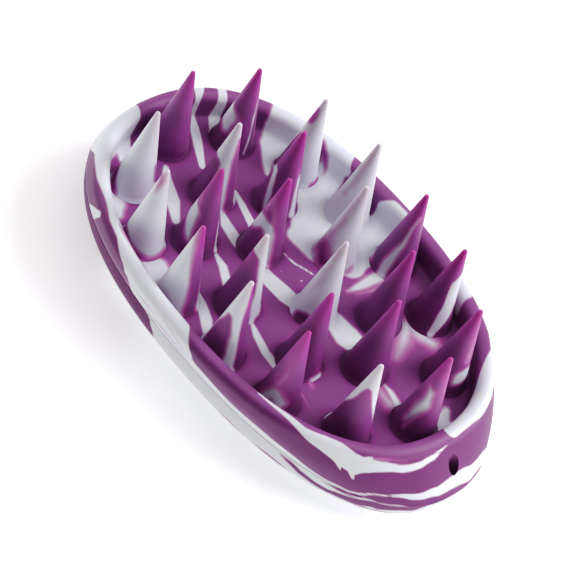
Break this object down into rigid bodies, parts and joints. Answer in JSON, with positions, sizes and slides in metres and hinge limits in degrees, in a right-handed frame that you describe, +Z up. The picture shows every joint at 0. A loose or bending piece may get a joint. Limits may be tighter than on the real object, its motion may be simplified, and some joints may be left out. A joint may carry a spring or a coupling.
{
  "type": "curry comb",
  "caption": "Hand-held oval silicone curry comb: palm-sized back, shallow tray with a rolled rim and upright soft cone teeth that bend on their roots.",
  "frame": {"origin": "under the middle of the comb's bounding box, on the surface that its back rests on", "axes": "+X along the comb towards the end with the hanging hole, +Y across it, +Z up from the back towards the tooth tips"},
  "size_m": [0.13, 0.0784, 0.0453],
  "materials": {
    "silicone_body": "satin silicone, purple marbled with white",
    "silicone_tooth": "satin silicone, purple and white marbled through, tips a little translucent"
  },
  "bodies": {
    "comb_body": {"comb_body": "silicone_body"},
    "rim_tooth_01": {"rim_tooth_01": "silicone_tooth"},
    "rim_tooth_02": {"rim_tooth_02": "silicone_tooth"},
    "rim_tooth_03": {"rim_tooth_03": "silicone_tooth"},
    "rim_tooth_04": {"rim_tooth_04": "silicone_tooth"},
    "rim_tooth_05": {"rim_tooth_05": "silicone_tooth"},
    "rim_tooth_06": {"rim_tooth_06": "silicone_tooth"},
    "rim_tooth_07": {"rim_tooth_07": "silicone_tooth"},
    "rim_tooth_08": {"rim_tooth_08": "silicone_tooth"},
    "rim_tooth_09": {"rim_tooth_09": "silicone_tooth"},
    "rim_tooth_10": {"rim_tooth_10": "silicone_tooth"},
    "rim_tooth_11": {"rim_tooth_11": "silicone_tooth"},
    "rim_tooth_12": {"rim_tooth_12": "silicone_tooth"},
    "rim_tooth_13": {"rim_tooth_13": "silicone_tooth"},
    "rim_tooth_14": {"rim_tooth_14": "silicone_tooth"},
    "inner_tooth_01": {"inner_tooth_01": "silicone_tooth"},
    "inner_tooth_02": {"inner_tooth_02": "silicone_tooth"},
    "inner_tooth_03": {"inner_tooth_03": "silicone_tooth"},
    "inner_tooth_04": {"inner_tooth_04": "silicone_tooth"},
    "inner_tooth_05": {"inner_tooth_05": "silicone_tooth"},
    "inner_tooth_06": {"inner_tooth_06": "silicone_tooth"},
    "inner_tooth_07": {"inner_tooth_07": "silicone_tooth"},
    "inner_tooth_08": {"inner_tooth_08": "silicone_tooth"},
    "centre_tooth_01": {"centre_tooth_01": "silicone_tooth"},
    "centre_tooth_02": {"centre_tooth_02": "silicone_tooth"}
  },
  "joints": [
    {"name": "rim_tooth_01_lean", "type": "hinge", "parent": "comb_body", "child": "rim_tooth_01", "pos_m": [0.0469, 0, 0.0182], "axis": [0, 1, 0], "range_deg": [-15, 15], "stiffness_Nm_per_rad": 0.02},
    {"name": "rim_tooth_02_lean", "type": "hinge", "parent": "comb_body", "child": "rim_tooth_02", "pos_m": [0.0402, 0.0164, 0.0182], "axis": [0, 1, 0], "range_deg": [-15, 15], "stiffness_Nm_per_rad": 0.02},
    {"name": "rim_tooth_03_lean", "type": "hinge", "parent": "comb_body", "child": "rim_tooth_03", "pos_m": [0.0248, 0.0256, 0.0182], "axis": [0, 1, 0], "range_deg": [-15, 15], "stiffness_Nm_per_rad": 0.02},
    {"name": "rim_tooth_04_lean", "type": "hinge", "parent": "comb_body", "child": "rim_tooth_04", "pos_m": [0.0074, 0.0285, 0.0182], "axis": [0, 1, 0], "range_deg": [-15, 15], "stiffness_Nm_per_rad": 0.02},
    {"name": "rim_tooth_05_lean", "type": "hinge", "parent": "comb_body", "child": "rim_tooth_05", "pos_m": [-0.0106, 0.0285, 0.0182], "axis": [0, 1, 0], "range_deg": [-15, 15], "stiffness_Nm_per_rad": 0.02},
    {"name": "rim_tooth_06_lean", "type": "hinge", "parent": "comb_body", "child": "rim_tooth_06", "pos_m": [-0.028, 0.0256, 0.0182], "axis": [0, 1, 0], "range_deg": [-15, 15], "stiffness_Nm_per_rad": 0.02},
    {"name": "rim_tooth_07_lean", "type": "hinge", "parent": "comb_body", "child": "rim_tooth_07", "pos_m": [-0.0434, 0.0164, 0.0182], "axis": [0, 1, 0], "range_deg": [-15, 15], "stiffness_Nm_per_rad": 0.02},
    {"name": "rim_tooth_08_lean", "type": "hinge", "parent": "comb_body", "child": "rim_tooth_08", "pos_m": [-0.0501, 0, 0.0182], "axis": [0, 1, 0], "range_deg": [-15, 15], "stiffness_Nm_per_rad": 0.02},
    {"name": "rim_tooth_09_lean", "type": "hinge", "parent": "comb_body", "child": "rim_tooth_09", "pos_m": [-0.0434, -0.0164, 0.0182], "axis": [0, 1, 0], "range_deg": [-15, 15], "stiffness_Nm_per_rad": 0.02},
    {"name": "rim_tooth_10_lean", "type": "hinge", "parent": "comb_body", "child": "rim_tooth_10", "pos_m": [-0.028, -0.0256, 0.0182], "axis": [0, 1, 0], "range_deg": [-15, 15], "stiffness_Nm_per_rad": 0.02},
    {"name": "rim_tooth_11_lean", "type": "hinge", "parent": "comb_body", "child": "rim_tooth_11", "pos_m": [-0.0106, -0.0285, 0.0182], "axis": [0, 1, 0], "range_deg": [-15, 15], "stiffness_Nm_per_rad": 0.02},
    {"name": "rim_tooth_12_lean", "type": "hinge", "parent": "comb_body", "child": "rim_tooth_12", "pos_m": [0.0074, -0.0285, 0.0182], "axis": [0, 1, 0], "range_deg": [-15, 15], "stiffness_Nm_per_rad": 0.02},
    {"name": "rim_tooth_13_lean", "type": "hinge", "parent": "comb_body", "child": "rim_tooth_13", "pos_m": [0.0248, -0.0256, 0.0182], "axis": [0, 1, 0], "range_deg": [-15, 15], "stiffness_Nm_per_rad": 0.02},
    {"name": "rim_tooth_14_lean", "type": "hinge", "parent": "comb_body", "child": "rim_tooth_14", "pos_m": [0.0402, -0.0164, 0.0182], "axis": [0, 1, 0], "range_deg": [-15, 15], "stiffness_Nm_per_rad": 0.02},
    {"name": "inner_tooth_01_lean", "type": "hinge", "parent": "comb_body", "child": "inner_tooth_01", "pos_m": [0.0284, 0, 0.0182], "axis": [0, 1, 0], "range_deg": [-15, 15], "stiffness_Nm_per_rad": 0.02},
    {"name": "inner_tooth_02_lean", "type": "hinge", "parent": "comb_body", "child": "inner_tooth_02", "pos_m": [0.019, 0.0133, 0.0182], "axis": [0, 1, 0], "range_deg": [-15, 15], "stiffness_Nm_per_rad": 0.02},
    {"name": "inner_tooth_03_lean", "type": "hinge", "parent": "comb_body", "child": "inner_tooth_03", "pos_m": [-0.0016, 0.0162, 0.0182], "axis": [0, 1, 0], "range_deg": [-15, 15], "stiffness_Nm_per_rad": 0.02},
    {"name": "inner_tooth_04_lean", "type": "hinge", "parent": "comb_body", "child": "inner_tooth_04", "pos_m": [-0.0222, 0.0133, 0.0182], "axis": [0, 1, 0], "range_deg": [-15, 15], "stiffness_Nm_per_rad": 0.02},
    {"name": "inner_tooth_05_lean", "type": "hinge", "parent": "comb_body", "child": "inner_tooth_05", "pos_m": [-0.0316, 0, 0.0182], "axis": [0, 1, 0], "range_deg": [-15, 15], "stiffness_Nm_per_rad": 0.02},
    {"name": "inner_tooth_06_lean", "type": "hinge", "parent": "comb_body", "child": "inner_tooth_06", "pos_m": [-0.0222, -0.0133, 0.0182], "axis": [0, 1, 0], "range_deg": [-15, 15], "stiffness_Nm_per_rad": 0.02},
    {"name": "inner_tooth_07_lean", "type": "hinge", "parent": "comb_body", "child": "inner_tooth_07", "pos_m": [-0.0016, -0.0162, 0.0182], "axis": [0, 1, 0], "range_deg": [-15, 15], "stiffness_Nm_per_rad": 0.02},
    {"name": "inner_tooth_08_lean", "type": "hinge", "parent": "comb_body", "child": "inner_tooth_08", "pos_m": [0.019, -0.0133, 0.0182], "axis": [0, 1, 0], "range_deg": [-15, 15], "stiffness_Nm_per_rad": 0.02},
    {"name": "centre_tooth_01_lean", "type": "hinge", "parent": "comb_body", "child": "centre_tooth_01", "pos_m": [0.0091, 0, 0.0182], "axis": [0, 1, 0], "range_deg": [-15, 15], "stiffness_Nm_per_rad": 0.02},
    {"name": "centre_tooth_02_lean", "type": "hinge", "parent": "comb_body", "child": "centre_tooth_02", "pos_m": [-0.0123, 0, 0.0182], "axis": [0, 1, 0], "range_deg": [-15, 15], "stiffness_Nm_per_rad": 0.02}
  ]
}
